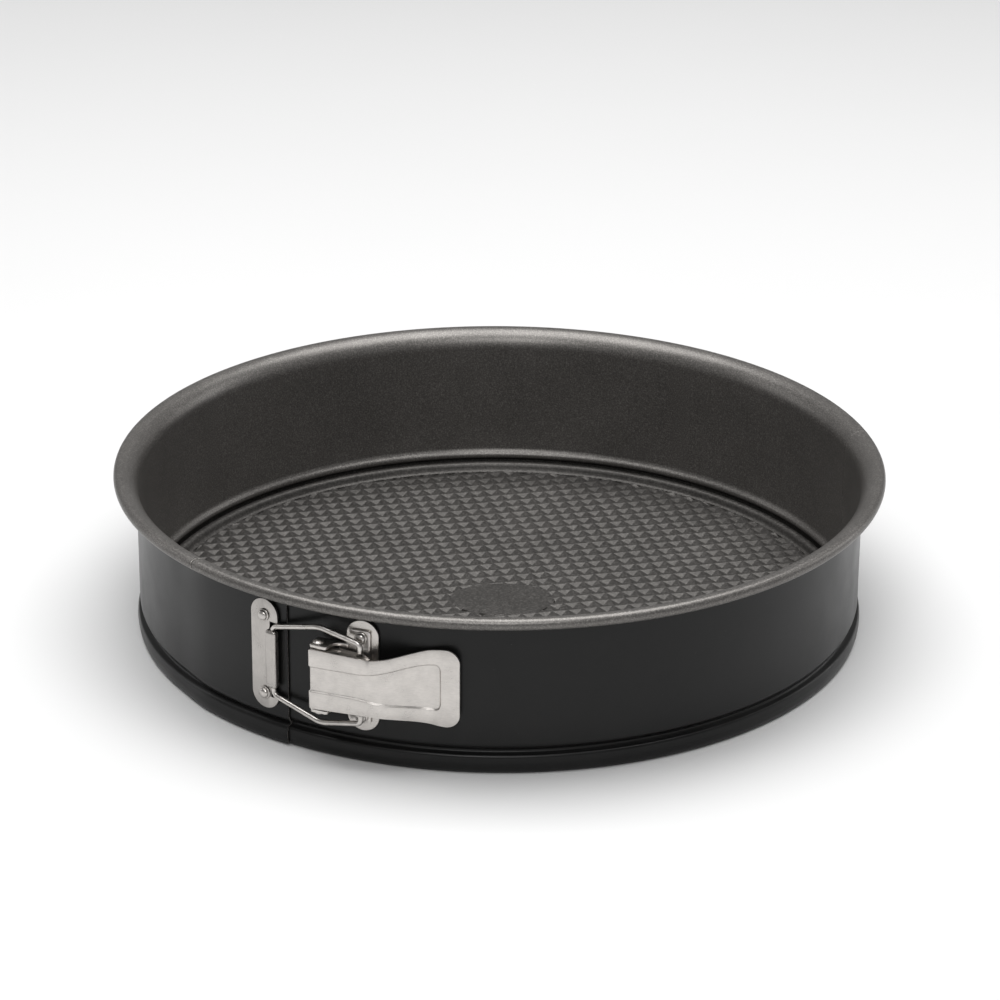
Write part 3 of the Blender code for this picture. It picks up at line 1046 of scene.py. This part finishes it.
def drillFlanges(piece):
    # one pair of holes for the pin and one for the feet of the bail
    turn = Matrix.Rotation(pin["along"] / wallOut, 4, "Z")
    atPin = turn @ Matrix.Translation((0, -wallOut - pin["off"], 0))
    foot = atPin.inverted() @ wallPoint(*wire["foot"][:2], 0)
    for x, y, radius in ((0, 0, lever["pinHole"]), (foot.x, foot.y, lever["footHole"])):
        deselectAll()
        bpy.ops.mesh.primitive_cylinder_add(
            vertices=32, radius=radius * mm, depth=0.05, location=(x * mm, y * mm, 0),
        )
        drill = bpy.context.object
        settle(drill)
        boolean(piece, drill)


def finishLever(piece):
    applyModifier(piece, "SOLIDIFY", thickness=lever["sheet"] * mm, offset=-1, use_even_offset=True)
    drillFlanges(piece)
    roundEdges(piece, 0.11, 2, 38)
    onWall(piece, pin["along"], pin["off"])
    finishPiece(piece, "lever", ["lever"], sheetSteel, angle=32)


latchLever = makeLever()
finishLever(latchLever)
print("lever made", len(latchLever.data.polygons))


# floor, light and camera

studio = {
    "floorTone": 0.62,
    "world": 0.26,
    "aim": (0, 0, 0.03),
    "top": {"energy": 38.0, "size": (1.8, 1.3), "place": (0.0, 0.15, 1.5)},
    "front": {"energy": 9.0, "size": (0.8, 0.6), "place": (-0.1, -1.3, 1.2)},
    "left": {"energy": 2.0, "size": (0.4, 0.9), "place": (-1.5, 0.5, 0.6)},
    "right": {"energy": 3.5, "size": (0.4, 0.9), "place": (1.5, 0.6, 0.6)},
}
shot = {
    "azimuth": 32.6,
    "elevation": 23.12,
    "distance": 1.464,
    "slide": 0.000232,
    "lift": 0.043256,
    "roll": 0.344,
    "lens": 133.38,
}


def makeFloor():
    deselectAll()
    bpy.ops.mesh.primitive_circle_add(vertices=96, radius=6.0, fill_type="NGON", location=(0, 0, -0.0002))
    floor = bpy.context.object
    floor.name = "studioFloor"
    material, tree, shader = newMaterial("paleFloor", 0.7, 0.0)
    tone = studio["floorTone"]
    cloud = noise(tree, objectPoint(tree), 3.0, 3.0)
    colour = ramp(tree, cloud, (0.3, grey(tone * 0.985)), (0.7, grey(tone)))
    tree.links.new(colour, shader.inputs["Base Color"])
    paint(floor, material)


def addSoftbox(name, energy, size, place):
    light = bpy.data.lights.new(name, "AREA")
    light.shape = "RECTANGLE"
    light.size, light.size_y = size
    light.energy = energy
    box = bpy.data.objects.new(name, light)
    bpy.context.scene.collection.objects.link(box)
    turn = Matrix.Rotation(math.radians(shot["azimuth"]), 3, "Z")     # placed as seen from the camera
    box.location = turn @ Vector(place)
    aim = Vector(studio["aim"]) - box.location
    box.rotation_euler = aim.to_track_quat("-Z", "Y").to_euler()


def makeStudio():
    world = bpy.data.worlds.new("studio")
    bpy.context.scene.world = world
    world.use_nodes = True
    sky = world.node_tree.nodes["Background"]
    sky.inputs["Color"].default_value = (1, 1, 1, 1)
    sky.inputs["Strength"].default_value = studio["world"]
    for name in ("top", "front", "left", "right"):
        addSoftbox(name, **studio[name])


def makeCamera():
    data = bpy.data.cameras.new("camera")
    data.lens = shot["lens"]
    data.sensor_width = 36
    data.clip_end = 50
    camera = bpy.data.objects.new("camera", data)
    bpy.context.scene.collection.objects.link(camera)
    turn = Matrix.Rotation(math.radians(shot["azimuth"]), 4, "Z")
    tilt = Matrix.Rotation(math.radians(90 - shot["elevation"]), 4, "X")
    back = Matrix.Translation((shot["slide"], shot["lift"], shot["distance"]))
    camera.matrix_world = turn @ tilt @ back @ Matrix.Rotation(math.radians(shot["roll"]), 4, "Z")
    bpy.context.scene.camera = camera


makeFloor()
makeStudio()
makeCamera()
bpy.context.scene.view_settings.view_transform = "Standard"
print("studio made")
